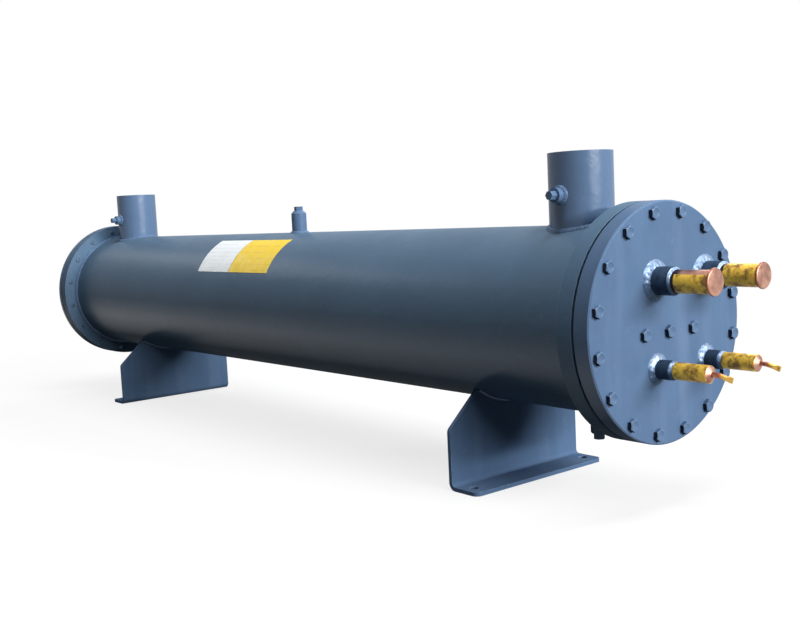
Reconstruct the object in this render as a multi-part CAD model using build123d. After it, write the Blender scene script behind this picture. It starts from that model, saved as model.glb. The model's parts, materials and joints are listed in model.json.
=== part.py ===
from build123d import *
import math
import os

# Shell and tube heat exchanger for a liquid chiller, lying on two saddle feet.
# A steel shell runs between two tube sheets. A bolted head with the refrigerant
# connections closes the front end, and a plain bolted cover closes the rear end.
# Sizes are millimetres. X runs along the shell towards the head and Z is up.
# The origin is on the floor, at the centre of the four foot holes.

# Shell
shell_diameter = 219.1
shell_wall = 6.3
shell_length = 1327.0
axis_height = 207.0

# End plates, from the shell outwards
plate_ledge = 24.4
plate_edge_chamfer = 1.5
tube_sheet_thickness = 20.0
gasket_thickness = 3.5
gasket_width = 22.0
gasket_bolt_room = 1.0
head_thickness = 19.5
cover_thickness = 10.0

# Bolt holes of the head and the cover
bolt_count = 16
bolt_edge_distance = 11.25
bolt_hole_diameter = 9.0
rib_bolt_count = 3
rib_bolt_pitch = 43.0
rib_bolt_drop = 9.0

# Tube bundle, copper tubes in staggered rows between the tube sheets, drawn with few sides
tube_diameter = 19.05
tube_sides = 8
tube_pitch = 25.0
bundle_diameter = 168.0

# Water nozzles on top of the shell
nozzle_diameter = 76.1
nozzle_wall = 3.6
nozzle_end_distance = 75.0
nozzle_projection = 84.3

# Plugged tapping in the side of each nozzle
tapping_diameter = 17.0
tapping_bore = 8.0
tapping_projection = 9.0
tapping_drop = 49.0
tapping_plug_flats = 9.5
tapping_plug_head = 9.0
tapping_plug_shank = 8.0

# Vent and drain couplings on the shell, each closed by a plug
vent_diameter = 24.0
vent_chamfer = 4.0
vent_projection = 34.5
drain_diameter = 20.0
drain_chamfer = 1.5
drain_projection = 26.5
drain_end_distance = 58.0
coupling_bore = 11.0
coupling_plug_flats = 12.0
coupling_plug_head = 6.8
coupling_plug_shank = 15.0

# Saddle feet, bent from plate, with the foot turned outwards
saddle_end_distance = 194.5
saddle_plate = 5.0
saddle_width = 229.0
saddle_shoulder_height = 75.0
saddle_shoulder_radius = 8.0
saddle_bend_radius = 5.0
saddle_cradle_half_angle = 36.6
foot_reach = 43.5
foot_corner_radius = 8.0
foot_hole_diameter = 12.0
foot_hole_reach = 23.5
foot_hole_margin = 14.5

# Refrigerant connections on the head, two circuits side by side
connection_pitch = 90.0
connection_offset = 24.0
suction_rise = 48.0
liquid_drop = 48.0

# Suction connections: a welded socket, a copper tube and a copper cap
suction_socket_diameter = 31.0
suction_socket_length = 24.5
suction_tube_diameter = 25.0
suction_tube_wall = 1.25
suction_cap_diameter = 29.7
suction_cap_length = 2.6
suction_cap_crown = 1.4
suction_cap_bevel = 1.0
suction_reach = 74.3

# Liquid connections: a socket, a copper tube spun down to a cone, and a thin tube
liquid_socket_diameter = 21.5
liquid_socket_length = 20.5
liquid_tube_diameter = 18.0
liquid_tube_wall = 1.0
liquid_cone_length = 3.2
liquid_reach = 68.8

# Thin charging tube, bent down a little and pinched shut at its tip, drawn with few sides
charging_diameter = 5.5
charging_insert = 4.0
charging_straight = 6.0
charging_sides = 8
charging_slope = 14.0
charging_run = 9.0
pinch_length = 9.0
pinch_width = 7.0
pinch_thickness = 2.4

# Room for weld metal under set-on pieces, room in screwed and slipped joints
weld_gap = 0.2
slip_gap = 0.1

# Sizes and places that follow from the ones above
shell_radius = shell_diameter / 2
shell_bore = shell_diameter - 2 * shell_wall
shell_end = shell_length / 2
plate_diameter = shell_diameter + 2 * plate_ledge
bolt_circle_diameter = plate_diameter - 2 * bolt_edge_distance
gasket_diameter = bolt_circle_diameter - bolt_hole_diameter - 2 * gasket_bolt_room
gasket_start = shell_end + tube_sheet_thickness
closure_start = gasket_start + gasket_thickness
head_face = closure_start + head_thickness
nozzle_bore = nozzle_diameter - 2 * nozzle_wall
nozzle_x = shell_end - nozzle_end_distance
nozzle_rise = shell_radius + nozzle_projection
drain_x = shell_end - drain_end_distance
saddle_distance = shell_end - saddle_end_distance
foot_hole_spacing = saddle_width - 2 * foot_hole_margin
suction_z = axis_height + suction_rise
liquid_z = axis_height - liquid_drop
connection_places = [connection_offset + side * connection_pitch / 2 for side in (-1, 1)]
from_base = (Align.CENTER, Align.CENTER, Align.MIN)


def facing_head(x, y=0.0, z=axis_height):
    """Return a place whose own Z runs along the shell towards the head."""
    return Location((x, y, z), (0, 90, 0))


def rod(diameter, length):
    """Return a plain round bar standing on its own origin."""
    return Cylinder(diameter / 2, length, align=from_base)


def plate(thickness, start, diameter=plate_diameter):
    """Return a round plate about the shell axis, from start towards the head."""
    return facing_head(start) * rod(diameter, thickness)


def bolt_places(start):
    """Return the places of the bolts round a plate that begins at start."""
    half_step = 180 / bolt_count
    ring = PolarLocations(bolt_circle_diameter / 2, bolt_count, start_angle=half_step)
    return [facing_head(start) * place for place in ring]


def rib_bolt_places(start):
    """Return the places of the bolts in the row across the middle of the head."""
    first = -rib_bolt_pitch * (rib_bolt_count - 1) / 2
    places = [Pos(rib_bolt_drop, first + index * rib_bolt_pitch) for index in range(rib_bolt_count)]
    return [facing_head(start) * place for place in places]


def drilled(body, places, thickness):
    """Return the body with a bolt hole through its thickness at each place."""
    hole = rod(bolt_hole_diameter, thickness)
    return body - [place * hole for place in places]


def shell_envelope(gap):
    """Return a solid bar that fills the shell and stands off it by the gap."""
    return plate(shell_length, -shell_end, shell_diameter + 2 * gap)


def make_shell():
    """Return the shell tube with the two openings under the nozzles."""
    tube = shell_envelope(0) - plate(shell_length, -shell_end, shell_bore)
    openings = [Pos(side * nozzle_x, 0, axis_height) * rod(nozzle_bore, nozzle_rise) for side in (1, -1)]
    return tube - openings


def make_gasket(start):
    """Return a gasket ring that lies inside the circle of bolts."""
    opening = plate(gasket_thickness, start, gasket_diameter - 2 * gasket_width)
    return plate(gasket_thickness, start, gasket_diameter) - opening


def make_front_head():
    """Return the flat head that carries the refrigerant connections."""
    head = plate(head_thickness, closure_start)
    head = chamfer(head.edges().group_by(Axis.X)[-1], plate_edge_chamfer)
    places = bolt_places(closure_start) + rib_bolt_places(closure_start)
    return drilled(head, places, head_thickness)


def make_rear_cover():
    """Return the plain cover of the rear end."""
    start = -closure_start - cover_thickness
    cover = plate(cover_thickness, start)
    cover = chamfer(cover.edges().group_by(Axis.X)[0], plate_edge_chamfer)
    return drilled(cover, bolt_places(start), cover_thickness)


def tube_places():
    """Return the tube places in the staggered rows that fit in the bundle's circle."""
    reach = (bundle_diameter - tube_diameter) / 2
    row_height = tube_pitch * math.sin(math.radians(60))
    row_limit = int(reach / row_height)
    places = []
    for row in range(-row_limit, row_limit + 1):
        half_row = math.sqrt(reach**2 - (row * row_height) ** 2)
        stagger = row % 2 / 2
        limit = int(half_row / tube_pitch - stagger)
        steps = [stagger + index for index in range(limit + 1)]
        steps = sorted({-step for step in steps} | set(steps))
        places += [Pos(row * row_height, step * tube_pitch) for step in steps]
    return places


def make_tube_bundle():
    """Return the tubes, which end on the inner faces of the tube sheets."""
    end = RegularPolygon(tube_diameter / 2, tube_sides)
    ends = Sketch() + [place * end for place in tube_places()]
    return facing_head(-shell_end) * extrude(ends, shell_length)


def make_nozzle(side):
    """Return a water nozzle whose foot is cut to sit on the shell."""
    pipe = rod(nozzle_diameter, nozzle_rise) - rod(nozzle_bore, nozzle_rise)
    return Pos(side * nozzle_x, 0, axis_height) * pipe - shell_envelope(weld_gap)


def tapping_place(side):
    """Return the place on a nozzle axis whose own Z points out of the tapping."""
    return Location((side * nozzle_x, 0, axis_height + nozzle_rise - tapping_drop), (90, 0, 0))


def make_tapping(side):
    """Return the boss in the side of a nozzle, cut to sit on the nozzle's wall."""
    reach = nozzle_diameter / 2 + tapping_projection
    bore = Pos(0, 0, reach - tapping_plug_shank) * rod(tapping_bore, tapping_plug_shank)
    boss = rod(tapping_diameter, reach) - bore
    nozzle = Pos(side * nozzle_x, 0, axis_height) * rod(nozzle_diameter + 2 * weld_gap, nozzle_rise)
    return tapping_place(side) * boss - nozzle


def make_coupling(place, diameter, projection, edge_chamfer):
    """Return a round coupling cut to sit on the shell, pointing along the place's own Z."""
    reach = shell_radius + projection
    body = rod(diameter, reach)
    body = chamfer(body.edges().group_by(Axis.Z)[-1], edge_chamfer)
    body -= rod(coupling_bore, reach)
    return place * body - shell_envelope(weld_gap)


def make_plug(flats, head, bore, shank):
    """Return a hexagon plug whose head stands on its own origin."""
    corner_radius = flats / 2 / math.cos(math.radians(30))
    cap = extrude(RegularPolygon(corner_radius, 6), head)
    stem_diameter = bore - 2 * slip_gap
    return cap + Pos(0, 0, -shank) * rod(stem_diameter, shank)


def make_coupling_plug(place, projection):
    """Return the plug of a vent or drain coupling."""
    plug = make_plug(coupling_plug_flats, coupling_plug_head, coupling_bore, coupling_plug_shank)
    return place * Pos(0, 0, shell_radius + projection) * plug


def make_vent_and_drain():
    """Return the couplings and plugs of the vent on top and the drain below, by name."""
    vent = Location((0, 0, axis_height))
    drain = Location((drain_x, 0, axis_height), (180, 0, 0))
    couplings = [
        make_coupling(vent, vent_diameter, vent_projection, vent_chamfer),
        make_coupling(drain, drain_diameter, drain_projection, drain_chamfer),
    ]
    plugs = [make_coupling_plug(vent, vent_projection), make_coupling_plug(drain, drain_projection)]
    return {"vent_and_drain_couplings": Compound(couplings), "vent_and_drain_plugs": Compound(plugs)}


def make_tapping_plug(side):
    """Return the plug of a nozzle tapping."""
    shank = tapping_plug_shank - slip_gap
    plug = make_plug(tapping_plug_flats, tapping_plug_head, tapping_bore, shank)
    return tapping_place(side) * Pos(0, 0, nozzle_diameter / 2 + tapping_projection) * plug


def saddle_section(front, back, toe, top):
    """Return the bent section of a saddle, seen along Y: an upright and its foot."""
    corners = [(back, 0), (toe, 0), (toe, saddle_plate), (front, saddle_plate), (front, top), (back, top)]
    section = make_face(Polyline(*corners, close=True))
    inner = section.vertices().sort_by_distance((front, saddle_plate))[0]
    section = fillet(inner, saddle_bend_radius)
    outer = section.vertices().sort_by_distance((back, 0))[0]
    return fillet(outer, saddle_bend_radius + saddle_plate)


def saddle_outline(top):
    """Return the outline of a saddle, seen along X: straight sides and sloped shoulders."""
    half = saddle_width / 2
    cradle = shell_radius * math.sin(math.radians(saddle_cradle_half_angle))
    shoulder = saddle_shoulder_height
    corners = [(-half, 0), (half, 0), (half, shoulder), (cradle, top), (-cradle, top), (-half, shoulder)]
    outline = make_face(Polyline(*corners, close=True))
    shoulders = [outline.vertices().sort_by_distance((side * half, shoulder))[0] for side in (1, -1)]
    return fillet(shoulders, saddle_shoulder_radius)


def make_front_saddle():
    """Return the front saddle, cut to cradle the shell, with its two foot holes."""
    front = saddle_distance
    back = front - saddle_plate
    toe = front + foot_reach
    top = axis_height - shell_radius * math.cos(math.radians(saddle_cradle_half_angle))
    bent = extrude(Plane.XZ * saddle_section(front, back, toe, top), saddle_width / 2, both=True)
    saddle = bent & extrude(Plane.YZ.offset(back) * saddle_outline(top), toe - back)
    saddle -= shell_envelope(weld_gap)
    toes = saddle.edges().filter_by(Axis.Z).group_by(Axis.X)[-1]
    saddle = fillet(toes, foot_corner_radius)
    hole = rod(foot_hole_diameter, saddle_plate)
    holes = [Pos(front + foot_hole_reach, side * foot_hole_spacing / 2) * hole for side in (1, -1)]
    return saddle - holes


def make_socket(place, diameter, length, tube_size):
    """Return a steel socket that stands on the head round the foot of a tube."""
    return place * (rod(diameter, length) - rod(tube_size + 2 * slip_gap, length))


def make_suction_tube(place):
    """Return a straight copper tube that stands in a suction socket."""
    length = suction_reach - suction_cap_crown - slip_gap
    bore = suction_tube_diameter - 2 * suction_tube_wall
    return place * (rod(suction_tube_diameter, length) - rod(bore, length))


def make_suction_cap(place):
    """Return a round cap that closes a suction tube."""
    cap = rod(suction_cap_diameter, suction_cap_length)
    cap = chamfer(cap.edges().group_by(Axis.Z)[-1], suction_cap_bevel)
    cap -= rod(suction_tube_diameter + 2 * slip_gap, suction_cap_length - suction_cap_crown)
    return place * Pos(0, 0, suction_reach - suction_cap_length) * cap


def make_liquid_tube(place):
    """Return a copper tube whose end is spun down to a thick cone round the charging tube."""
    cone_start = liquid_reach - liquid_cone_length
    radius = liquid_tube_diameter / 2
    neck_bore = charging_diameter + 2 * slip_gap
    neck_radius = neck_bore / 2 + liquid_tube_wall
    spun_end = Pos(0, 0, cone_start) * Cone(radius, neck_radius, liquid_cone_length, align=from_base)
    tube = rod(liquid_tube_diameter, cone_start) + spun_end
    tube -= rod(liquid_tube_diameter - 2 * liquid_tube_wall, cone_start)
    return place * (tube - rod(neck_bore, liquid_reach))


def make_charging_tube(place):
    """Return a thin tube that leaves a liquid tube, bends down and ends in a pinch."""
    slope = math.radians(charging_slope)
    start = liquid_reach - charging_insert
    bend = liquid_reach + charging_straight
    fall = charging_run * math.sin(slope)
    tip = bend + charging_run * math.cos(slope)
    path = Polyline((0, 0, start), (0, 0, bend), (fall, 0, tip))
    section = RegularPolygon(charging_diameter / 2, charging_sides)
    tube = sweep(Plane(path @ 0, x_dir=(0, 1, 0), z_dir=path % 0) * section, path, transition=Transition.RIGHT)
    end = Plane(path @ 1, x_dir=(0, 1, 0), z_dir=path % 1)
    flat = scale(section, (pinch_thickness / charging_diameter, pinch_width / charging_diameter, 1))
    pinch = loft([end * section, end.offset(pinch_length) * flat], ruled=True)
    return place * (tube + pinch)


def make_connections():
    """Return the pieces of the two refrigerant circuits by name, one of each kind per circuit."""
    suctions = [facing_head(head_face, y, suction_z) for y in connection_places]
    liquids = [facing_head(head_face, y, liquid_z) for y in connection_places]
    suction_socket = make_socket(Location(), suction_socket_diameter, suction_socket_length, suction_tube_diameter)
    liquid_socket = make_socket(Location(), liquid_socket_diameter, liquid_socket_length, liquid_tube_diameter)
    return {
        "suction_sockets": Compound([place * suction_socket for place in suctions]),
        "suction_tubes": Compound([make_suction_tube(place) for place in suctions]),
        "suction_caps": Compound([make_suction_cap(place) for place in suctions]),
        "liquid_sockets": Compound([place * liquid_socket for place in liquids]),
        "liquid_tubes": Compound([make_liquid_tube(place) for place in liquids]),
        "charging_tubes": Compound([make_charging_tube(place) for place in liquids]),
    }


def make_pieces():
    """Return every piece of the heat exchanger by name."""
    front_saddle = make_front_saddle()
    ends = (1, -1)
    pieces = {
        "shell": make_shell(),
        "tube_bundle": make_tube_bundle(),
        "front_tube_sheet": plate(tube_sheet_thickness, shell_end),
        "rear_tube_sheet": plate(tube_sheet_thickness, -gasket_start),
        "gaskets": Compound([make_gasket(gasket_start), make_gasket(-closure_start)]),
        "front_head": make_front_head(),
        "rear_cover": make_rear_cover(),
        "front_water_nozzle": make_nozzle(1),
        "rear_water_nozzle": make_nozzle(-1),
        "nozzle_tappings": Compound([make_tapping(side) for side in ends]),
        "tapping_plugs": Compound([make_tapping_plug(side) for side in ends]),
        "front_saddle": front_saddle,
        "rear_saddle": mirror(front_saddle, Plane.YZ),
    }
    return pieces | make_vent_and_drain() | make_connections()


os.makedirs("parts", exist_ok=True)
for name, piece in make_pieces().items():
    export_step(piece, f"parts/{name}.step")
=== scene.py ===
import json
import math
import random

import bpy
import numpy as np
from mathutils import Matrix, Vector


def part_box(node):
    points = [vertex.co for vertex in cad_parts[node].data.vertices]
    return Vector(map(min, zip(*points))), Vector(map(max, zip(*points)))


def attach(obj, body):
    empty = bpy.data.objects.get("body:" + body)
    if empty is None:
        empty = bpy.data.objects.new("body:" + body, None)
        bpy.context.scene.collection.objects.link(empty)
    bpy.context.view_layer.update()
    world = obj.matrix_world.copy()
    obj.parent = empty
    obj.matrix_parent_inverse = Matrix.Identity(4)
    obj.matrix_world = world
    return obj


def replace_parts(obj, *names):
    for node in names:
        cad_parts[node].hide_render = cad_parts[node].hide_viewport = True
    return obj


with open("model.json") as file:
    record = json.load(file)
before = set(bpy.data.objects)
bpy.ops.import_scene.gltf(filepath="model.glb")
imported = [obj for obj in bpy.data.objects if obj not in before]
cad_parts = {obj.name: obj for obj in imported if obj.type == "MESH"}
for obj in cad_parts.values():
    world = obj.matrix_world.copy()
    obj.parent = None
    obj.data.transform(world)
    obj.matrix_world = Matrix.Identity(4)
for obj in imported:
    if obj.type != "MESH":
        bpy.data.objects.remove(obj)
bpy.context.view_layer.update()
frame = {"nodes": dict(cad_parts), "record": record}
nodes = frame["nodes"]
random.seed(7)

# Places and sizes that the solids already have, in metres
shell_low, shell_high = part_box("shell")
head_low, head_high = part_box("front_head")
cover_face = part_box("rear_cover")[0].x
shell_radius = (shell_high.y - shell_low.y) / 2
shell_end = shell_high.x
axis_height = (shell_high.z + shell_low.z) / 2
plate_radius = (head_high.z - head_low.z) / 2
head_face = head_high.x

# Ways in the frame
towards_head = (1.0, 0.0, 0.0)
towards_near_side = (0.0, -1.0, 0.0)
upward = (0.0, 0.0, 1.0)

# Camera, placed as the photograph was taken, with its angles in degrees
camera_place = (1.3841, -0.9318, 0.3412)
camera_azimuth = 50.743
camera_elevation = 5.983
camera_roll = -2.753
camera_lens = 46.256
sensor_width = 36.0

# Angle in degrees above which an edge of an added piece is sharp
sharp_angle = 40.0

# Bolts of the head and the cover, with angles in degrees
bolt_count = 16
bolt_edge_distance = 0.01125
bolt_flats = 0.013
bolt_head_height = 0.0053
bolt_head_turn = 8.0
bolt_chamfer_angle = 30.0
bolt_chamfer_share = 0.47
bolt_dish_shares = (0.80, 0.74)
bolt_dish_depth = 0.0003
bolt_shank_radius = 0.004
bolt_tip_proud = 0.0012
bolt_tip_chamfer = 0.0008
bolt_segments = 48
shank_segments = 24
rib_bolt_count = 3
rib_bolt_pitch = 0.043
rib_bolt_drop = 0.009

# Tubes of the bundle, in rows that stand at an angle in degrees
tube_radius = 0.009525
tube_pitch = 0.025
tube_row_angle = 60.0
bundle_radius = 0.084
tube_segments = 32

# Weld and braze metal
drain_radius = 0.010
nozzle_weld_leg = 0.0036
tapping_weld_leg = 0.003
coupling_weld_leg = 0.003
ring_weld_leg = 0.004
saddle_weld_leg = 0.0035
saddle_plate = 0.005
weld_ripple_pitch = 0.0036
suction_weld_legs = (0.0076, 0.0045)
suction_braze_leg = 0.0026
liquid_weld_legs = (0.0066, 0.0042)
liquid_braze_leg = 0.0042
socket_ripple_pitch = 0.0052

# Shape of a bead: how far each kind swells and ripples, how its ripples lag in the middle, how deep its root
# lies, how much of the cradle and of a socket's wall it covers, and the number of steps across it
weld_shape_shares = (0.22, 0.10)
socket_shape_shares = (0.16, 0.07)
braze_shape_shares = (0.25, 0.05)
ripple_lag_share = 0.35
bead_root_share = 0.1
saddle_weld_share = 0.985
braze_wall_share = 0.92
bead_steps = 7

# Number of points along each bead
nozzle_weld_points = 480
tapping_weld_points = 180
coupling_weld_points = 220
ring_weld_points = 1100
saddle_weld_points = 260
socket_weld_points = 280
braze_points = 180

# Tape on the copper tubes, as distances from the head's face, and the bare gaps that it leaves.
# The gaps are a middle and a width in degrees from the top, towards the far side, for each tube of a pair.
# The creases repeat round the tube, twist along it and come in patches.
suction_tape_span = (0.0308, 0.0702)
liquid_tape_span = (0.0252, 0.0654)
suction_tape_gaps = ((-14.0, 76.0), (110.0, 56.0))
liquid_tape_gaps = ((110.0, 56.0), (125.0, 48.0))
tape_lift = 0.0001
tape_thickness = 0.0005
tape_crease = 0.00015
tape_crease_turns = 9
tape_crease_twist = 37
tape_crease_patches = 3
tape_rows = 40
tape_columns = 97

# Caps of the suction tubes
cap_rim_radius = 0.0016
cap_back_chamfer = 0.0005
cap_rim_steps = 6
cap_segments = 96

# Charging tubes, with their slope in degrees
charging_radius = 0.00275
charging_insert = 0.004
charging_straight = 0.003
charging_bend_length = 0.006
charging_slope = 14.0
charging_round_length = 0.015
charging_gold_start = 0.0085
charging_pace = 0.0005
charging_segments = 24
pinch_length = 0.0085
pinch_half_height = 0.0034
pinch_half_thickness = 0.0012
pinch_flatten_share = 0.7

# Weight and roughness of the clear coat on the paint of the vessel, the tube sheets, the nozzles, the feet,
# the sockets and the bolts, and how many times more weight there is below, where no dust settles
vessel_sheen = 0.25
vessel_sheen_roughness = 0.28
sheet_sheen = 0.12
sheet_sheen_roughness = 0.3
nozzle_sheen = 0.6
nozzle_sheen_roughness = 0.27
matt_sheen = 0.05
matt_sheen_roughness = 0.4
socket_sheen = 0.2
socket_sheen_roughness = 0.3
bolt_sheen = 0.25
bolt_sheen_roughness = 0.28
dust_free_sheen = 2.5

# Height of the surface grain, and surface marks
paint_relief = 0.0004
bolt_relief = 0.0003
copper_relief = 0.0001
weld_relief = 0.0002
gasket_relief = 0.0002
steel_relief = 0.0002
tape_relief = 0.0004
sticker_relief = 0.0006
# Radius of the lighter edges, which are wear and painted highlight
edge_wear_and_highlight_radius = 0.0012
# Span from the head's face over which the copper turns dark, heat stain and painted shade
burnt_and_shaded_copper_span = (0.032, 0.038)
copper_wander = 0.002
gold_fade_length = 0.004
white_line_pitch = 0.006
white_line_share = 0.35
yellow_line_pitch = 0.009
yellow_line_share = 0.2

# Values between which most of a noise lies
noise_middle = (0.3, 0.7)

# Lamps, as a place, a width, a height and a power in watts
lamps = {
    "key": ((5.3, 1.2, 2.1), 3.0, 1.0, 245.0),
    "window": ((8.7, 0.3, 1.65), 5.0, 0.4, 400.0),
    "rim": ((-3.8, -1.2, 2.4), 2.2, 0.8, 17.0),
    "top": ((0.9, -0.25, 3.2), 3.0, 1.0, 95.0),
    "back": ((-0.8, 3.2, 2.6), 2.0, 2.0, 55.0),
}
world_ambient = 0.03

# Floor, with the distances from the middle over which its shadow fades and how much it glows at each,
# and how white it is where it is seen and where it only bounces light
floor_half_width = 40.0
floor_fade_span = (0.4, 1.6)
floor_glow_shares = (0.72, 1.0)
floor_white_share = 0.95
floor_bounce_share = 0.07

# Stickers on the shell, with angles in degrees from the top towards the near side
sticker_top_angle = 24.4
sticker_bottom_angle = 61.9
sticker_lift = 0.0001
sticker_thickness = 0.0003
sticker_rows = 25
sticker_columns = 21
white_sticker_span = (-0.168, -0.0695)
yellow_sticker_span = (-0.0685, 0.046)


# Colours


def srgb(red, green, blue):
    """Return a linear colour for display values from 0 to 255."""
    shares = [value / 255 for value in (red, green, blue)]
    linear = [s / 12.92 if s <= 0.04045 else ((s + 0.055) / 1.055) ** 2.4 for s in shares]
    return (*linear, 1.0)


def grey(share):
    """Return a neutral linear colour, where one is white."""
    return (share, share, share, 1.0)


paint_colour = srgb(88, 114, 147)
paint_dark_colour = srgb(81, 105, 136)
# Greyer, greener copy of the paint for the shell and tube sheets: painted light, standing in for the warmer
# light on the shell than on the head
shell_shade_tint_colour = srgb(90, 117, 143)
shell_shade_tint_dark_colour = srgb(83, 108, 132)
# Lighter paint of scuffs, runs and edges, the edges both wear and painted highlight
paint_worn_and_highlight_colour = srgb(140, 162, 190)
# Darker copies of the paint on the sockets, as painted shade
socket_shade_colour = srgb(66, 86, 110)
socket_shade_dark_colour = srgb(46, 62, 82)
dust_colour = srgb(158, 160, 158)
# Dark colour of the bolt flats that face neither out nor up, as painted shade
bolt_flank_shade_colour = srgb(34, 42, 58)
weld_colour = srgb(158, 178, 206)
weld_dark_colour = srgb(104, 126, 158)
copper_colour = srgb(190, 146, 128)
copper_dark_colour = srgb(164, 92, 66)
# Dark copper near the sockets, heat stain and painted shade
copper_burnt_and_shaded_colour = srgb(70, 52, 54)
copper_tarnish_colour = srgb(136, 98, 84)
# Darker copper on the rims and sides of the tube ends, as painted shade
copper_rim_shade_colour = srgb(132, 78, 60)
brass_colour = srgb(206, 164, 86)
tape_colour = srgb(255, 206, 72)
tape_dark_colour = srgb(122, 82, 36)
gasket_colour = srgb(16, 17, 19)
steel_colour = srgb(54, 60, 70)
white_colour = srgb(245, 251, 255)
white_line_colour = srgb(176, 182, 188)
yellow_colour = srgb(250, 214, 52)
yellow_line_colour = srgb(150, 122, 40)


# Shader helpers


class Shader:
    """A material with a principled shader, and short ways to add nodes to it."""

    def __init__(self, name):
        self.material = bpy.data.materials.new(name)
        self.material.use_nodes = True
        self.tree = self.material.node_tree
        self.inputs = self.tree.nodes["Principled BSDF"].inputs
        self.place = self.tree.nodes.new("ShaderNodeTexCoord").outputs["Object"]

    def node(self, kind):
        """Add a node of one kind."""
        return self.tree.nodes.new(kind)

    def feed(self, socket, value):
        """Set a socket to a plain value, or link it to another socket."""
        if isinstance(value, bpy.types.NodeSocket):
            self.tree.links.new(value, socket)
        else:
            socket.default_value = value

    def noise(self, scale, detail=4.0, roughness=0.55, stretch=(1.0, 1.0, 1.0)):
        """Return a noise value that varies over the object's own place."""
        mapping = self.node("ShaderNodeMapping")
        mapping.inputs["Scale"].default_value = stretch
        self.feed(mapping.inputs["Vector"], self.place)
        texture = self.node("ShaderNodeTexNoise")
        texture.inputs["Scale"].default_value = scale
        texture.inputs["Detail"].default_value = detail
        texture.inputs["Roughness"].default_value = roughness
        self.feed(texture.inputs["Vector"], mapping.outputs["Vector"])
        return texture.outputs["Fac"]

    def spread(self, value, low, high, out_low=0.0, out_high=1.0):
        """Return the value mapped from one range to another and clamped."""
        ranged = self.node("ShaderNodeMapRange")
        limits = {"From Min": low, "From Max": high, "To Min": out_low, "To Max": out_high}
        for name, number in limits.items():
            ranged.inputs[name].default_value = number
        self.feed(ranged.inputs["Value"], value)
        return ranged.outputs["Result"]

    def drift(self, scale, low, high, detail=4.0):
        """Return a value that drifts between two over the surface."""
        return self.spread(self.noise(scale, detail), *noise_middle, low, high)

    def math(self, operation, first, second):
        """Return one math operation on two values, which are sockets or numbers."""
        step = self.node("ShaderNodeMath")
        step.operation = operation
        self.feed(step.inputs[0], first)
        self.feed(step.inputs[1], second)
        return step.outputs["Value"]

    def mix(self, factor, first, second):
        """Return a colour between two, which are sockets or colours."""
        blend = self.node("ShaderNodeMix")
        blend.data_type = "RGBA"
        self.feed(blend.inputs["Factor"], factor)
        self.feed(blend.inputs[6], first)
        self.feed(blend.inputs[7], second)
        return blend.outputs[2]

    def axis(self, letter, vector):
        """Return one coordinate of a vector."""
        split = self.node("ShaderNodeSeparateXYZ")
        self.feed(split.inputs["Vector"], vector)
        return split.outputs[letter]

    def normal(self):
        """Return the surface normal."""
        return self.node("ShaderNodeNewGeometry").outputs["Normal"]

    def edges(self, radius):
        """Return a value that rises towards one along sharp edges."""
        bevel = self.node("ShaderNodeBevel")
        bevel.inputs["Radius"].default_value = radius
        dot = self.node("ShaderNodeVectorMath")
        dot.operation = "DOT_PRODUCT"
        self.feed(dot.inputs[0], bevel.outputs["Normal"])
        self.feed(dot.inputs[1], self.normal())
        return self.spread(dot.outputs["Value"], 0.995, 0.82)

    def bump(self, height, distance, strength):
        """Raise the surface by a height value."""
        raised = self.node("ShaderNodeBump")
        raised.inputs["Strength"].default_value = strength
        raised.inputs["Distance"].default_value = distance
        self.feed(raised.inputs["Height"], height)
        self.feed(self.inputs["Normal"], raised.outputs["Normal"])
        self.feed(self.inputs["Coat Normal"], raised.outputs["Normal"])

    def coat(self, weight, roughness):
        """Cover the surface with a thin clear coat."""
        self.feed(self.inputs["Coat Weight"], weight)
        self.inputs["Coat Roughness"].default_value = roughness

    def finish(self, colour, roughness, metallic=0.0, specular=0.5):
        """Set the surface's main values and return the material."""
        self.feed(self.inputs["Base Color"], colour)
        self.feed(self.inputs["Roughness"], roughness)
        self.feed(self.inputs["Metallic"], metallic)
        self.inputs["Specular IOR Level"].default_value = specular
        return self.material


# Materials


def enamel(shader, dark=paint_dark_colour, light=paint_colour):
    """Return the enamel's colour, with scuffs, runs on the plates, lighter edges that are wear and painted
    highlight, and a little dust on top.
    """
    colour = shader.mix(shader.drift(6.0, 0.0, 1.0, detail=5.0), dark, light)
    scuff = shader.spread(shader.noise(60.0, 6.0, 0.7), 0.60, 0.80, 0.0, 0.25)
    colour = shader.mix(scuff, colour, paint_worn_and_highlight_colour)
    along_shell = shader.math("ABSOLUTE", shader.axis("X", shader.normal()), 0.0)
    plate_face = shader.spread(along_shell, 0.7, 0.95)
    run = shader.spread(shader.noise(30.0, 3.0, stretch=(1.0, 1.0, 0.12)), 0.48, 0.7, 0.0, 0.12)
    colour = shader.mix(shader.math("MULTIPLY", plate_face, run), colour, paint_worn_and_highlight_colour)
    # Wear and painted highlight: sharp edges turn lighter in patches
    patchy = shader.spread(shader.noise(90.0), 0.35, 0.6, 0.15, 0.7)
    worn_and_highlit = shader.math("MULTIPLY", shader.edges(edge_wear_and_highlight_radius), patchy)
    colour = shader.mix(worn_and_highlit, colour, paint_worn_and_highlight_colour)
    facing_up = shader.spread(shader.axis("Z", shader.normal()), 0.6, 1.0)
    specks = shader.spread(shader.noise(22.0, 8.0, 0.65), 0.4, 0.75, 0.0, 0.12)
    return shader.mix(shader.math("MULTIPLY", facing_up, specks), colour, dust_colour)


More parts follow.
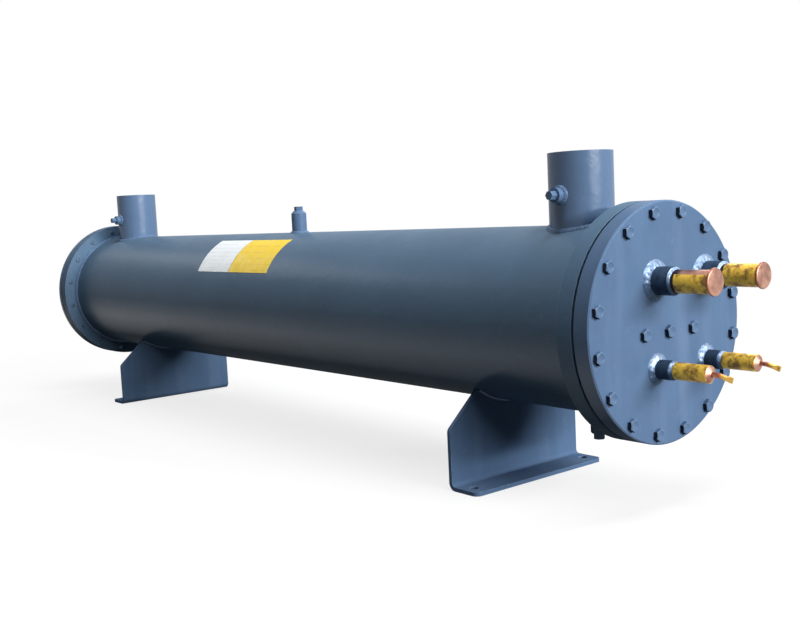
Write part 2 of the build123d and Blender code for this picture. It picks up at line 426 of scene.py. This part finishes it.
def make_paint(name, sheen, sheen_roughness, dark=paint_dark_colour, light=paint_colour):
    """Enamel with orange peel, waves and dents, dulled by dust above and by overspray underneath."""
    shader = Shader(name)
    peel = shader.math("MULTIPLY", shader.noise(300.0, 2.0), 0.12)
    waves = shader.math("MULTIPLY", shader.noise(62.0, 2.0), 0.9)
    dents = shader.math("MULTIPLY", shader.noise(16.0, 3.0), 2.2)
    shader.bump(shader.math("ADD", shader.math("ADD", peel, waves), dents), paint_relief, 0.9)
    facing_up = shader.axis("Z", shader.normal())
    dusty = shader.spread(facing_up, -0.28, -0.02, dust_free_sheen * sheen, sheen)
    overspray = shader.spread(facing_up, -0.72, -0.36, 0.1, 1.0)
    shader.coat(shader.math("MULTIPLY", dusty, overspray), sheen_roughness)
    roughness = shader.drift(14.0, 0.45, 0.6, detail=6.0)
    return shader.finish(enamel(shader, dark, light), roughness, specular=0.0)


def make_shaded_socket_paint():
    """Enamel on the sockets in a darker copy of its colour, with patches: painted shade."""
    shader = Shader("shaded_socket_paint")
    # Painted shade: the sockets take a darker copy of the enamel's colour
    patch = shader.spread(shader.noise(140.0, 5.0), 0.35, 0.65, 0.0, 0.8)
    colour = shader.mix(patch, socket_shade_dark_colour, socket_shade_colour)
    shader.bump(shader.noise(300.0, 2.0), paint_relief, 0.3)
    shader.coat(socket_sheen, socket_sheen_roughness)
    return shader.finish(colour, shader.drift(120.0, 0.45, 0.65), specular=0.0)


def make_bolt_paint():
    """The same enamel on the bolt heads, with painted shade on the flats that face neither out nor up."""
    shader = Shader("painted_bolts")
    # Painted shade: the flats that face neither along the shell nor up take a dark colour
    outward = shader.math("ABSOLUTE", shader.axis("X", shader.normal()), 0.0)
    face = shader.spread(outward, 0.3, 0.7)
    above = shader.spread(shader.axis("Z", shader.normal()), 0.1, 0.7)
    unshaded_flats = shader.math("MAXIMUM", face, above)
    colour = shader.mix(unshaded_flats, bolt_flank_shade_colour, enamel(shader))
    shader.bump(shader.noise(520.0, 2.0), bolt_relief, 0.3)
    shader.coat(bolt_sheen, bolt_sheen_roughness)
    return shader.finish(colour, shader.drift(200.0, 0.45, 0.6), specular=0.0)


def make_copper():
    """Drawn copper, dulled in patches, and dark from the head's face to just beyond the socket mouths, where
    it was brazed into the sockets: heat stain and painted shade.
    """
    shader = Shader("copper")
    stain = shader.spread(shader.noise(90.0, 6.0, 0.65), 0.45, 0.8)
    colour = shader.mix(stain, copper_colour, copper_dark_colour)
    # Heat stain and painted shade: the copper darkens from the head's face to just beyond the sockets
    wander = shader.spread(shader.noise(120.0), 0.0, 1.0, -copper_wander, copper_wander)
    along = shader.math("ADD", shader.axis("X", shader.place), wander)
    beyond_shell = shader.math("GREATER_THAN", along, head_face)
    burnt_and_shaded = shader.spread(along, head_face + burnt_and_shaded_copper_span[1], head_face + burnt_and_shaded_copper_span[0])
    colour = shader.mix(shader.math("MULTIPLY", beyond_shell, burnt_and_shaded), colour, copper_burnt_and_shaded_colour)
    shader.bump(shader.noise(700.0, 3.0, stretch=(0.1, 1.0, 1.0)), copper_relief, 0.4)
    return shader.finish(colour, shader.drift(160.0, 0.28, 0.44), metallic=1.0)


def make_capped_copper():
    """Copper of the tube ends, mottled by the brazing heat, with a darker rim and sides that are painted
    shade.
    """
    shader = Shader("capped_copper")
    mottle = shader.spread(shader.noise(62.0, 3.0), 0.4, 0.68)
    colour = shader.mix(mottle, copper_colour, copper_tarnish_colour)
    # Painted shade: faces that turn away from the head's direction take a darker copper
    turned_away = shader.spread(shader.axis("X", shader.normal()), 0.95, 0.4)
    colour = shader.mix(turned_away, colour, copper_rim_shade_colour)
    shader.bump(shader.noise(420.0, 3.0), copper_relief, 0.6)
    return shader.finish(colour, shader.drift(160.0, 0.32, 0.5), metallic=1.0)


def make_pinched_copper(gold_start):
    """Copper at the root of the charging tube that turns to bright yellow metal at the pinch."""
    shader = Shader("pinched_copper")
    wander = shader.spread(shader.noise(300.0), 0.0, 1.0, -copper_wander, copper_wander)
    along = shader.math("ADD", shader.axis("X", shader.place), wander)
    stain = shader.spread(shader.noise(260.0, 5.0), 0.45, 0.8)
    root = shader.mix(stain, copper_dark_colour, copper_colour)
    golden = shader.spread(along, gold_start, gold_start + gold_fade_length)
    colour = shader.mix(golden, root, brass_colour)
    shader.bump(shader.noise(900.0, 3.0), copper_relief, 0.4)
    return shader.finish(colour, shader.drift(300.0, 0.26, 0.42), metallic=1.0)


def make_weld():
    """Weld metal with dull stains: bright bare metal on its upper side as a painted sky reflection, and the
    paint's dark colour on its lower side as painted shade.
    """
    shader = Shader("weld_steel")
    stain = shader.spread(shader.noise(220.0, 6.0, 0.7), 0.42, 0.68)
    colour = shader.mix(stain, weld_colour, weld_dark_colour)
    # Painted reflection and painted shade: the weld is bright metal where it faces up and dark paint colour
    # where it faces down, with a ragged border
    ragged = shader.drift(160.0, -0.35, 0.35)
    height = shader.math("ADD", shader.axis("Z", shader.normal()), ragged)
    painted_reflection_share = shader.spread(height, -0.1, 0.5)
    shader.bump(shader.noise(800.0, 3.0), weld_relief, 0.5)
    roughness = shader.drift(240.0, 0.36, 0.55)
    metallic = shader.math("MULTIPLY", painted_reflection_share, 0.8)
    return shader.finish(shader.mix(painted_reflection_share, paint_dark_colour, colour), roughness, metallic, specular=0.1)


def make_tape():
    """Plain shiny yellow tape with rubbed and dirty patches."""
    shader = Shader("yellow_tape")
    rubbed = shader.spread(shader.noise(105.0, 5.0, 0.6), 0.46, 0.61, 0.0, 0.88)
    colour = shader.mix(rubbed, tape_colour, tape_dark_colour)
    shader.bump(shader.noise(260.0), tape_relief, 0.4)
    return shader.finish(colour, shader.drift(200.0, 0.36, 0.5), metallic=0.3)


def make_gasket():
    """Black fibre gasket."""
    shader = Shader("gasket_black")
    fleck = shader.spread(shader.noise(900.0, 3.0), 0.55, 0.75)
    shader.bump(shader.noise(600.0), gasket_relief, 0.5)
    return shader.finish(shader.mix(fleck, gasket_colour, steel_colour), 0.85)


def make_bolt_steel():
    """Dark oiled steel of the bolt shanks."""
    shader = Shader("bolt_steel")
    stain = shader.spread(shader.noise(300.0), 0.35, 0.7)
    shader.bump(shader.noise(700.0), steel_relief, 0.4)
    return shader.finish(shader.mix(stain, steel_colour, paint_dark_colour), 0.5, metallic=0.4)


def make_sticker(name, colour, line_colour, line_pitch, line_share):
    """Plain sticker, with faint broken lines and no writing."""
    shader = Shader(name)
    steps = shader.math("DIVIDE", shader.axis("Z", shader.place), line_pitch)
    ruled = shader.math("LESS_THAN", shader.math("FRACT", steps, 0.0), line_share)
    broken = shader.spread(shader.noise(70.0, 2.0, stretch=(1.0, 0.2, 3.0)), 0.42, 0.5, 0.0, 0.14)
    lined = shader.mix(shader.math("MULTIPLY", ruled, broken), colour, line_colour)
    grime = shader.spread(shader.noise(45.0, 6.0), 0.55, 0.85, 0.0, 0.25)
    soiled = shader.mix(grime, lined, line_colour)
    shader.bump(shader.noise(60.0, 3.0), sticker_relief, 0.25)
    return shader.finish(soiled, shader.drift(80.0, 0.36, 0.55), specular=0.3)


# Mesh helpers


def add_piece(name, solids, material):
    """Add closed solids, as vertices and faces, as one smooth piece of the object."""
    vertices, faces = [], []
    for points, corners in solids:
        base = len(vertices)
        vertices.extend(tuple(point) for point in points)
        faces.extend(tuple(index + base for index in face) for face in corners)
    mesh = bpy.data.meshes.new(name)
    mesh.from_pydata(vertices, [], faces)
    mesh.polygons.foreach_set("use_smooth", [True] * len(mesh.polygons))
    mesh.set_sharp_from_angle(angle=math.radians(sharp_angle))
    mesh.materials.append(material)
    piece = bpy.data.objects.new(name, mesh)
    bpy.context.scene.collection.objects.link(piece)
    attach(piece, "root")
    return piece


def ring_faces(rows, columns, closed):
    """Return the faces between rings of points, with the two ends joined up or capped."""
    faces = []
    for row in range(rows if closed else rows - 1):
        here = row * columns
        after = (row + 1) % rows * columns
        for column in range(columns):
            beside = (column + 1) % columns
            faces.append((here + column, here + beside, after + beside, after + column))
    if not closed:
        faces.append(tuple(reversed(range(columns))))
        faces.append(tuple(range((rows - 1) * columns, rows * columns)))
    return faces


def lathe(profile, segments, place):
    """Return a solid turned from points of radius and height about the place's own Z."""
    angles = [2 * math.pi * index / segments for index in range(segments)]
    points = []
    for radius, height in profile:
        points += [place @ Vector((radius * math.cos(a), radius * math.sin(a), height)) for a in angles]
    return points, ring_faces(len(profile), segments, closed=False)


def thick_sheet(low, high, rows, columns):
    """Return a thin closed sheet between two grids of points with the same rows and columns."""
    size = rows * columns
    faces = []
    for row in range(rows - 1):
        for column in range(columns - 1):
            corner = row * columns + column
            quad = (corner, corner + 1, corner + columns + 1, corner + columns)
            faces.append(tuple(reversed(quad)))
            faces.append(tuple(index + size for index in quad))
    border = list(range(columns))
    border += [row * columns + columns - 1 for row in range(1, rows)]
    border += [size - 1 - column for column in range(1, columns)]
    border += [row * columns for row in range(rows - 2, 0, -1)]
    for here, after in zip(border, border[1:] + border[:1]):
        faces.append((here, after, after + size, here + size))
    return low + high, faces


def facing_head(x, y, z):
    """Return a place whose own Z runs along the shell towards the head."""
    return Matrix.Translation((x, y, z)) @ Matrix.Rotation(math.pi / 2, 4, "Y")


def facing_rear(x, y, z):
    """Return a place whose own Z runs along the shell away from the head."""
    return Matrix.Translation((x, y, z)) @ Matrix.Rotation(-math.pi / 2, 4, "Y")


def pair_on_head(node):
    """Return the radius and the two places, as Y and Z, of a pair of round pieces side by side."""
    low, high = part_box(node)
    radius = (high.z - low.z) / 2
    return radius, [(low.y + radius, low.z + radius), (high.y - radius, low.z + radius)]


# Bolts


def bolt_head(place, turn):
    """Return a hexagon head with a chamfered and slightly dished top."""
    sector = math.pi / 3
    chamfer_radius = bolt_flats * bolt_chamfer_share
    rim_radius, dish_radius = (chamfer_radius * share for share in bolt_dish_shares)
    slope = math.tan(math.radians(bolt_chamfer_angle))
    angles = [2 * math.pi * index / bolt_segments for index in range(bolt_segments)]
    sides = [bolt_flats / 2 / math.cos(angle % sector - sector / 2) for angle in angles]
    shoulders = [bolt_head_height - max(0.0, side - chamfer_radius) * slope for side in sides]
    dish = bolt_head_height - bolt_dish_depth
    rings = [
        [(side, 0.0) for side in sides],
        list(zip(sides, shoulders)),
        [(chamfer_radius, bolt_head_height)] * bolt_segments,
        [(rim_radius, bolt_head_height)] * bolt_segments,
        [(dish_radius, dish)] * bolt_segments,
    ]
    points = []
    for ring in rings:
        for angle, (radius, height) in zip(angles, ring):
            spot = Vector((radius * math.cos(angle + turn), radius * math.sin(angle + turn), height))
            points.append(place @ spot)
    return points, ring_faces(len(rings), bolt_segments, closed=False)


def bolt_ring():
    """Return the places of the bolts round a plate, as Y and Z."""
    radius = plate_radius - bolt_edge_distance
    angles = [2 * math.pi * (index + 0.5) / bolt_count for index in range(bolt_count)]
    return [(radius * math.cos(angle), axis_height + radius * math.sin(angle)) for angle in angles]


def rib_bolts():
    """Return the places of the bolts across the middle of the head, as Y and Z."""
    first = -rib_bolt_pitch * (rib_bolt_count - 1) / 2
    height = axis_height - rib_bolt_drop
    return [(first + index * rib_bolt_pitch, height) for index in range(rib_bolt_count)]


def add_bolts(bolt_paint, steel):
    """Add the bolts of both ends: painted heads, and dark shanks that end behind the tube sheets."""
    ends = {
        "head": (head_face, facing_head, bolt_ring() + rib_bolts()),
        "cover": (cover_face, facing_rear, bolt_ring()),
    }
    for name, (outer, facing, places) in ends.items():
        turns = [math.radians(random.uniform(-bolt_head_turn, bolt_head_turn)) for _ in places]
        heads = [bolt_head(facing(outer, y, z), turn) for (y, z), turn in zip(places, turns)]
        add_piece(f"{name}_bolts", heads, bolt_paint)
        length = abs(outer) - shell_end + bolt_tip_proud
        profile = [
            (bolt_shank_radius - bolt_tip_chamfer, -length),
            (bolt_shank_radius, bolt_tip_chamfer - length),
            (bolt_shank_radius, 0.0),
        ]
        shanks = [lathe(profile, shank_segments, facing(outer, y, z)) for y, z in bolt_ring()]
        add_piece(f"{name}_bolt_shanks", shanks, steel)


# Welds


def bead(line, along_a, along_b, leg_a, leg_b, pitch, closed=True, shape=weld_shape_shares):
    """Return a rippled fillet of weld along the line where two surfaces meet.

    along_a and along_b are the ways in the two surfaces, away from the corner, at each point of the line.
    """
    swell, ripple = shape
    smaller = min(leg_a, leg_b)
    travel = np.linalg.norm(np.roll(line, -1, axis=0) - line, axis=1)
    distance = np.cumsum(travel) - travel
    total = travel.sum() if closed else distance[-1]
    waves = max(1, round(total / pitch))
    points = []
    for corner, a, b, run in zip(line, along_a, along_b, distance):
        middle = (a + b) / np.linalg.norm(a + b)
        for step in range(bead_steps + 1):
            share = step / bead_steps
            arch = 4 * share * (1 - share)
            phase = (run / total * waves + ripple_lag_share * arch) % 1.0
            scale = 1 + ripple * (2 * abs(phase - 0.5) - 0.5)
            straight = leg_a * (1 - share) * a + leg_b * share * b
            points.append(corner + scale * (straight + middle * swell * arch * smaller))
        points.append(corner - bead_root_share * smaller * middle)
    return points, ring_faces(len(line), bead_steps + 2, closed)


def standing_line(origin, outward, carrier_axis, radius, carrier_radius, count):
    """Return the line where a round piece stands on a round carrier, and the two ways from it."""
    outward = np.array(outward, float)
    carrier_axis = np.array(carrier_axis, float)
    across = np.cross(carrier_axis, outward)
    line, along_carrier = [], []
    for index in range(count):
        angle = 2 * math.pi * index / count
        radial = math.cos(angle) * carrier_axis + math.sin(angle) * across
        side = radius * math.sin(angle)
        height = math.sqrt(carrier_radius**2 - side**2)
        normal = (height * outward + side * across) / carrier_radius
        way = radial - radial.dot(normal) * normal
        line.append(np.array(origin) + radius * radial + height * outward)
        along_carrier.append(way / np.linalg.norm(way))
    return np.array(line), along_carrier, [outward] * count


def circle_line(x, y, z, radius, count):
    """Return a circle about a line along the shell, and the outward way at each of its points."""
    angles = [2 * math.pi * index / count for index in range(count)]
    radials = [np.array((0.0, math.cos(angle), math.sin(angle))) for angle in angles]
    return np.array([np.array((x, y, z)) + radius * radial for radial in radials]), radials


def add_nozzle_welds(paint):
    """Add the welds under the water nozzles and round their tappings."""
    tapping_low, tapping_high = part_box("nozzle_tappings")
    tapping_radius = (tapping_high.z - tapping_low.z) / 2
    welds, tapping_welds = [], []
    for node in ("front_water_nozzle", "rear_water_nozzle"):
        low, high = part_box(node)
        radius = (high.y - low.y) / 2
        middle = (low.x + high.x) / 2
        origin = (middle, 0.0, axis_height)
        line = standing_line(origin, upward, towards_head, radius, shell_radius, nozzle_weld_points)
        welds.append(bead(*line, nozzle_weld_leg, nozzle_weld_leg, weld_ripple_pitch))
        origin = (middle, 0.0, tapping_low.z + tapping_radius)
        line = standing_line(origin, towards_near_side, upward, tapping_radius, radius, tapping_weld_points)
        tapping_welds.append(bead(*line, tapping_weld_leg, tapping_weld_leg, weld_ripple_pitch))
    add_piece("nozzle_welds", welds, paint)
    add_piece("tapping_welds", tapping_welds, paint)


def add_coupling_welds(paint):
    """Add the welds round the vent and the drain coupling."""
    low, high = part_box("vent_and_drain_couplings")
    vent_radius = (high.y - low.y) / 2
    vent = (low.x + vent_radius, vent_radius, 1.0)
    drain = (high.x - drain_radius, drain_radius, -1.0)
    welds = []
    for x, radius, side in (vent, drain):
        origin = (x, 0.0, axis_height)
        outward = (0.0, 0.0, side)
        line = standing_line(origin, outward, towards_head, radius, shell_radius, coupling_weld_points)
        welds.append(bead(*line, coupling_weld_leg, coupling_weld_leg, weld_ripple_pitch))
    add_piece("coupling_welds", welds, paint)


def add_tube_sheet_welds(paint):
    """Add the ring of weld between the shell and each tube sheet."""
    welds = []
    for side in (1.0, -1.0):
        line, radials = circle_line(side * shell_end, 0.0, axis_height, shell_radius, ring_weld_points)
        back = [np.array((-side, 0.0, 0.0))] * len(line)
        welds.append(bead(line, back, radials, ring_weld_leg, ring_weld_leg, weld_ripple_pitch))
    add_piece("tube_sheet_welds", welds, paint)


def add_saddle_welds(paint):
    """Add the welds on both faces of each saddle, where it cradles the shell."""
    welds = []
    for node in ("front_saddle", "rear_saddle"):
        low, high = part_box(node)
        half_angle = math.acos((axis_height - high.z) / shell_radius) * saddle_weld_share
        angles = np.linspace(-half_angle, half_angle, saddle_weld_points)
        outward = [np.array((0.0, math.sin(angle), -math.cos(angle))) for angle in angles]
        side = math.copysign(1.0, low.x)
        back = low.x if side > 0 else high.x
        for face, way in ((back, -side), (back + side * saddle_plate, side)):
            middle = np.array((face, 0.0, axis_height))
            line = np.array([middle + shell_radius * radial for radial in outward])
            along_shell = [np.array((way, 0.0, 0.0))] * len(line)
            leg = saddle_weld_leg
            welds.append(bead(line, along_shell, outward, leg, leg, weld_ripple_pitch, closed=False))
    add_piece("saddle_welds", welds, paint)


def add_socket_welds(kind, foot_legs, braze_leg, weld):
    """Add the bright weld round the foot of each socket and the braze round its mouth."""
    socket_radius, places = pair_on_head(f"{kind}_sockets")
    tube_outside, _ = pair_on_head(f"{kind}_tubes")
    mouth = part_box(f"{kind}_sockets")[1].x
    welds, brazes = [], []
    for y, z in places:
        line, radials = circle_line(head_face, y, z, socket_radius, socket_weld_points)
        ahead = [np.array(towards_head)] * len(line)
        foot = bead(line, radials, ahead, *foot_legs, socket_ripple_pitch, shape=socket_shape_shares)
        welds.append(foot)
        line, radials = circle_line(mouth, y, z, tube_outside, braze_points)
        ahead = [np.array(towards_head)] * len(line)
        wall = (socket_radius - tube_outside) * braze_wall_share
        braze = bead(line, radials, ahead, wall, braze_leg, socket_ripple_pitch, shape=braze_shape_shares)
        brazes.append(braze)
    add_piece(f"{kind}_welds", welds, weld)
    add_piece(f"{kind}_brazes", brazes, weld)


# Tape, caps and tubes


def tape_sheet(y, z, radius, span, gap_middle, gap_width):
    """Return a sheet of tape wrapped round a tube, which leaves a strip of the tube bare."""
    gap = math.radians(gap_width)
    first = math.radians(gap_middle) + gap / 2
    layers = []
    for lift in (tape_lift, tape_thickness):
        layer = []
        for row in range(tape_rows):
            share = row / (tape_rows - 1)
            x = head_face + span[0] + (span[1] - span[0]) * share
            for column in range(tape_columns):
                angle = first + (2 * math.pi - gap) * column / (tape_columns - 1)
                fold = math.sin(tape_crease_turns * angle + tape_crease_twist * share)
                patch = math.sin(tape_crease_patches * angle)
                reach = radius + lift + tape_crease * max(0.0, fold * patch)
                layer.append(Vector((x, y + reach * math.sin(angle), z + reach * math.cos(angle))))
        layers.append(layer)
    return thick_sheet(*layers, tape_rows, tape_columns)


def add_tape(kind, span, gaps, tape):
    """Add the yellow tape on the pair of copper tubes."""
    radius, places = pair_on_head(f"{kind}_tubes")
    sheets = [tape_sheet(y, z, radius, span, *gap) for (y, z), gap in zip(places, gaps)]
    add_piece(f"{kind}_tape", sheets, tape)


def add_caps(copper):
    """Add caps with rounded rims in place of the plain ones."""
    radius, places = pair_on_head("suction_caps")
    low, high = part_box("suction_caps")
    length = high.x - low.x
    profile = [(radius - cap_back_chamfer, 0.0), (radius, cap_back_chamfer)]
    for step in range(cap_rim_steps + 1):
        angle = math.pi / 2 * step / cap_rim_steps
        reach = radius - cap_rim_radius + cap_rim_radius * math.cos(angle)
        height = length - cap_rim_radius + cap_rim_radius * math.sin(angle)
        profile.append((reach, height))
    caps = [lathe(profile, cap_segments, facing_head(low.x, y, z)) for y, z in places]
    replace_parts(add_piece("round_caps", caps, copper), "suction_caps")


def charging_tube(start, y, z):
    """Return a thin tube that bends down a little and is pinched flat at its tip."""
    slope = math.radians(charging_slope)
    bend_start = charging_insert + charging_straight
    length = charging_insert + charging_round_length + pinch_length
    points = []
    x = start
    for step in range(round(length / charging_pace) + 1):
        run = step * charging_pace
        turn = slope * min(1.0, max(0.0, (run - bend_start) / charging_bend_length))
        flat = min(1.0, max(0.0, (run - length + pinch_length) / (pinch_length * pinch_flatten_share)))
        flat = flat * flat * (3 - 2 * flat)
        half_height = charging_radius + (pinch_half_height - charging_radius) * flat
        half_thickness = charging_radius + (pinch_half_thickness - charging_radius) * flat
        for index in range(charging_segments):
            angle = 2 * math.pi * index / charging_segments
            rise = half_height * math.sin(angle)
            side = half_thickness * math.cos(angle)
            points.append(Vector((x + rise * math.sin(turn), y + side, z + rise * math.cos(turn))))
        x += charging_pace * math.cos(turn)
        z -= charging_pace * math.sin(turn)
    return points, ring_faces(len(points) // charging_segments, charging_segments, closed=False)


def add_charging_tubes():
    """Add round charging tubes in place of the few-sided ones."""
    tube_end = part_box("liquid_tubes")[1].x
    _, places = pair_on_head("liquid_tubes")
    tubes = [charging_tube(tube_end - charging_insert, y, z) for y, z in places]
    material = make_pinched_copper(tube_end + charging_gold_start)
    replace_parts(add_piece("round_charging_tubes", tubes, material), "charging_tubes")


def tube_places():
    """Return the places of the tubes in staggered rows, as Y and Z."""
    reach = bundle_radius - tube_radius
    row_height = tube_pitch * math.sin(math.radians(tube_row_angle))
    row_limit = int(reach / row_height)
    places = []
    for row in range(-row_limit, row_limit + 1):
        half_row = math.sqrt(reach**2 - (row * row_height) ** 2)
        stagger = row % 2 / 2
        limit = int(half_row / tube_pitch - stagger)
        steps = {side * (stagger + index) for index in range(limit + 1) for side in (1, -1)}
        places += [(step * tube_pitch, axis_height - row * row_height) for step in sorted(steps)]
    return places


def add_tube_bundle(copper):
    """Add round tubes in place of the few-sided ones."""
    profile = [(tube_radius, -shell_end), (tube_radius, shell_end)]
    tubes = [lathe(profile, tube_segments, facing_head(0.0, y, z)) for y, z in tube_places()]
    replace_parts(add_piece("round_tubes", tubes, copper), "tube_bundle")


# Stickers


def add_sticker(name, span, material):
    """Add a plain sticker on the near upper side of the shell."""
    sweep = sticker_top_angle - sticker_bottom_angle
    layers = []
    for lift in (sticker_lift, sticker_thickness):
        layer = []
        reach = shell_radius + lift
        for row in range(sticker_rows):
            angle = math.radians(sticker_bottom_angle + sweep * row / (sticker_rows - 1))
            for column in range(sticker_columns):
                x = span[0] + (span[1] - span[0]) * column / (sticker_columns - 1)
                layer.append(Vector((x, -reach * math.sin(angle), axis_height + reach * math.cos(angle))))
        layers.append(layer)
    sheet = thick_sheet(*layers, sticker_rows, sticker_columns)
    add_piece(name, [sheet], material)


# Solids of the frame


def dress_nodes(materials, exceptions):
    """Give every node of the frame its material, and smooth shading within each of its faces."""
    for row in frame["record"]["subparts"]:
        name = row["node"]
        mesh = nodes[name].data
        mesh.materials.clear()
        mesh.materials.append(exceptions.get(name, materials[row["material_slot"]]))
        mesh.polygons.foreach_set("use_smooth", [True] * len(mesh.polygons))


# Stage


def add_camera():
    """Add the camera at the photograph's place and angle."""
    azimuth, elevation, roll = (math.radians(v) for v in (camera_azimuth, camera_elevation, camera_roll))
    level = math.cos(elevation)
    back = Vector((math.sin(azimuth) * level, -math.cos(azimuth) * level, math.sin(elevation)))
    right = Vector((math.cos(azimuth), math.sin(azimuth), 0.0))
    up = back.cross(right)
    across = math.cos(roll) * right + math.sin(roll) * up
    upright = math.cos(roll) * up - math.sin(roll) * right
    data = bpy.data.cameras.new("camera")
    data.sensor_fit = "HORIZONTAL"
    data.sensor_width = sensor_width
    data.lens = camera_lens
    camera = bpy.data.objects.new("camera", data)
    turn = Matrix((across, upright, back)).transposed().to_4x4()
    camera.matrix_world = Matrix.Translation(camera_place) @ turn
    bpy.context.scene.collection.objects.link(camera)
    bpy.context.scene.camera = camera


def seen_directly(tree):
    """Return a value that is one for camera, glossy and transmission rays."""
    path = tree.nodes.new("ShaderNodeLightPath")
    total = path.outputs["Is Camera Ray"]
    for name in ("Is Glossy Ray", "Is Transmission Ray"):
        larger = tree.nodes.new("ShaderNodeMath")
        larger.operation = "MAXIMUM"
        tree.links.new(total, larger.inputs[0])
        tree.links.new(path.outputs[name], larger.inputs[1])
        total = larger.outputs["Value"]
    return total


def mix_shaders(tree, factor, first, second):
    """Return a mix of two shaders, where the factor is a socket."""
    blend = tree.nodes.new("ShaderNodeMixShader")
    tree.links.new(factor, blend.inputs["Fac"])
    tree.links.new(first, blend.inputs[1])
    tree.links.new(second, blend.inputs[2])
    return blend.outputs["Shader"]


def add_world(ambient):
    """Make the world white where it is seen and dim where it lights the object."""
    world = bpy.data.worlds.new("world")
    bpy.context.scene.world = world
    world.use_nodes = True
    tree = world.node_tree
    seen = tree.nodes["Background"]
    seen.inputs["Color"].default_value = grey(1.0)
    light = tree.nodes.new("ShaderNodeBackground")
    light.inputs["Color"].default_value = grey(1.0)
    light.inputs["Strength"].default_value = ambient
    shown = mix_shaders(tree, seen_directly(tree), light.outputs["Background"], seen.outputs["Background"])
    tree.links.new(shown, tree.nodes["World Output"].inputs["Surface"])


def add_floor():
    """Add the white floor, which keeps a faint shadow near the object and bounces little light."""
    half = floor_half_width
    corners = [(-half, -half, 0.0), (half, -half, 0.0), (half, half, 0.0), (-half, half, 0.0)]
    mesh = bpy.data.meshes.new("floor")
    mesh.from_pydata(corners, [], [(0, 1, 2, 3)])
    floor = bpy.data.objects.new("floor", mesh)
    bpy.context.scene.collection.objects.link(floor)
    shader = Shader("floor")
    tree = shader.tree
    tree.nodes.remove(tree.nodes["Principled BSDF"])
    bounce = shader.node("ShaderNodeBsdfDiffuse")
    bounce.inputs["Color"].default_value = grey(floor_bounce_share)
    shaded = shader.node("ShaderNodeBsdfDiffuse")
    shaded.inputs["Color"].default_value = grey(floor_white_share)
    glow = shader.node("ShaderNodeEmission")
    span = shader.node("ShaderNodeVectorMath")
    span.operation = "LENGTH"
    shader.feed(span.inputs[0], shader.place)
    far = shader.spread(span.outputs["Value"], *floor_fade_span, *floor_glow_shares)
    seen = mix_shaders(tree, far, shaded.outputs["BSDF"], glow.outputs["Emission"])
    shown = mix_shaders(tree, seen_directly(tree), bounce.outputs["BSDF"], seen)
    tree.links.new(shown, tree.nodes["Material Output"].inputs["Surface"])
    mesh.materials.append(shader.material)


def add_lamp(name, place, width, height, power):
    """Add a soft rectangular lamp that faces the middle of the shell."""
    data = bpy.data.lights.new(name, "AREA")
    data.shape = "RECTANGLE"
    data.size = width
    data.size_y = height
    data.energy = power
    lamp = bpy.data.objects.new(name, data)
    lamp.location = place
    middle = Vector((0.0, 0.0, axis_height))
    lamp.rotation_euler = (middle - Vector(place)).to_track_quat("-Z", "Y").to_euler()
    bpy.context.scene.collection.objects.link(lamp)


def main():
    """Dress the frame, add the pieces and set the stage."""
    # Painted light: the shell and tube sheets take a greyer, greener copy of the paint
    shell_shade_tints = (shell_shade_tint_dark_colour, shell_shade_tint_colour)
    paint = make_paint("vessel_paint", vessel_sheen, vessel_sheen_roughness)
    shell_shade_tinted_paint = make_paint("shell_shade_tinted_paint", vessel_sheen, vessel_sheen_roughness, *shell_shade_tints)
    sheet_paint = make_paint("tube_sheet_paint", sheet_sheen, sheet_sheen_roughness, *shell_shade_tints)
    glossy = make_paint("glossy_paint", nozzle_sheen, nozzle_sheen_roughness)
    matt = make_paint("matt_paint", matt_sheen, matt_sheen_roughness)
    socket_shade_paint = make_shaded_socket_paint()
    copper = make_copper()
    capped = make_capped_copper()
    weld = make_weld()
    exceptions = {
        "shell": shell_shade_tinted_paint,
        "front_tube_sheet": sheet_paint,
        "rear_tube_sheet": sheet_paint,
        "front_saddle": matt,
        "rear_saddle": matt,
        "liquid_tubes": capped,
        "front_water_nozzle": glossy,
        "rear_water_nozzle": glossy,
        "suction_sockets": socket_shade_paint,
        "liquid_sockets": socket_shade_paint,
    }
    dress_nodes({"vessel_paint": paint, "copper": copper, "gasket_black": make_gasket()}, exceptions)
    add_bolts(make_bolt_paint(), make_bolt_steel())
    add_nozzle_welds(paint)
    add_coupling_welds(paint)
    add_tube_sheet_welds(paint)
    add_saddle_welds(paint)
    add_socket_welds("suction", suction_weld_legs, suction_braze_leg, weld)
    add_socket_welds("liquid", liquid_weld_legs, liquid_braze_leg, weld)
    tape = make_tape()
    add_tape("suction", suction_tape_span, suction_tape_gaps, tape)
    add_tape("liquid", liquid_tape_span, liquid_tape_gaps, tape)
    add_caps(capped)
    add_charging_tubes()
    add_tube_bundle(copper)
    white_lines = (white_line_colour, white_line_pitch, white_line_share)
    white = make_sticker("label_white", white_colour, *white_lines)
    yellow_lines = (yellow_line_colour, yellow_line_pitch, yellow_line_share)
    yellow = make_sticker("label_yellow", yellow_colour, *yellow_lines)
    add_sticker("white_sticker", white_sticker_span, white)
    add_sticker("yellow_sticker", yellow_sticker_span, yellow)
    add_floor()
    add_world(world_ambient)
    for name, settings in lamps.items():
        add_lamp(name, *settings)
    add_camera()
    bpy.context.scene.view_settings.view_transform = "Standard"


main()
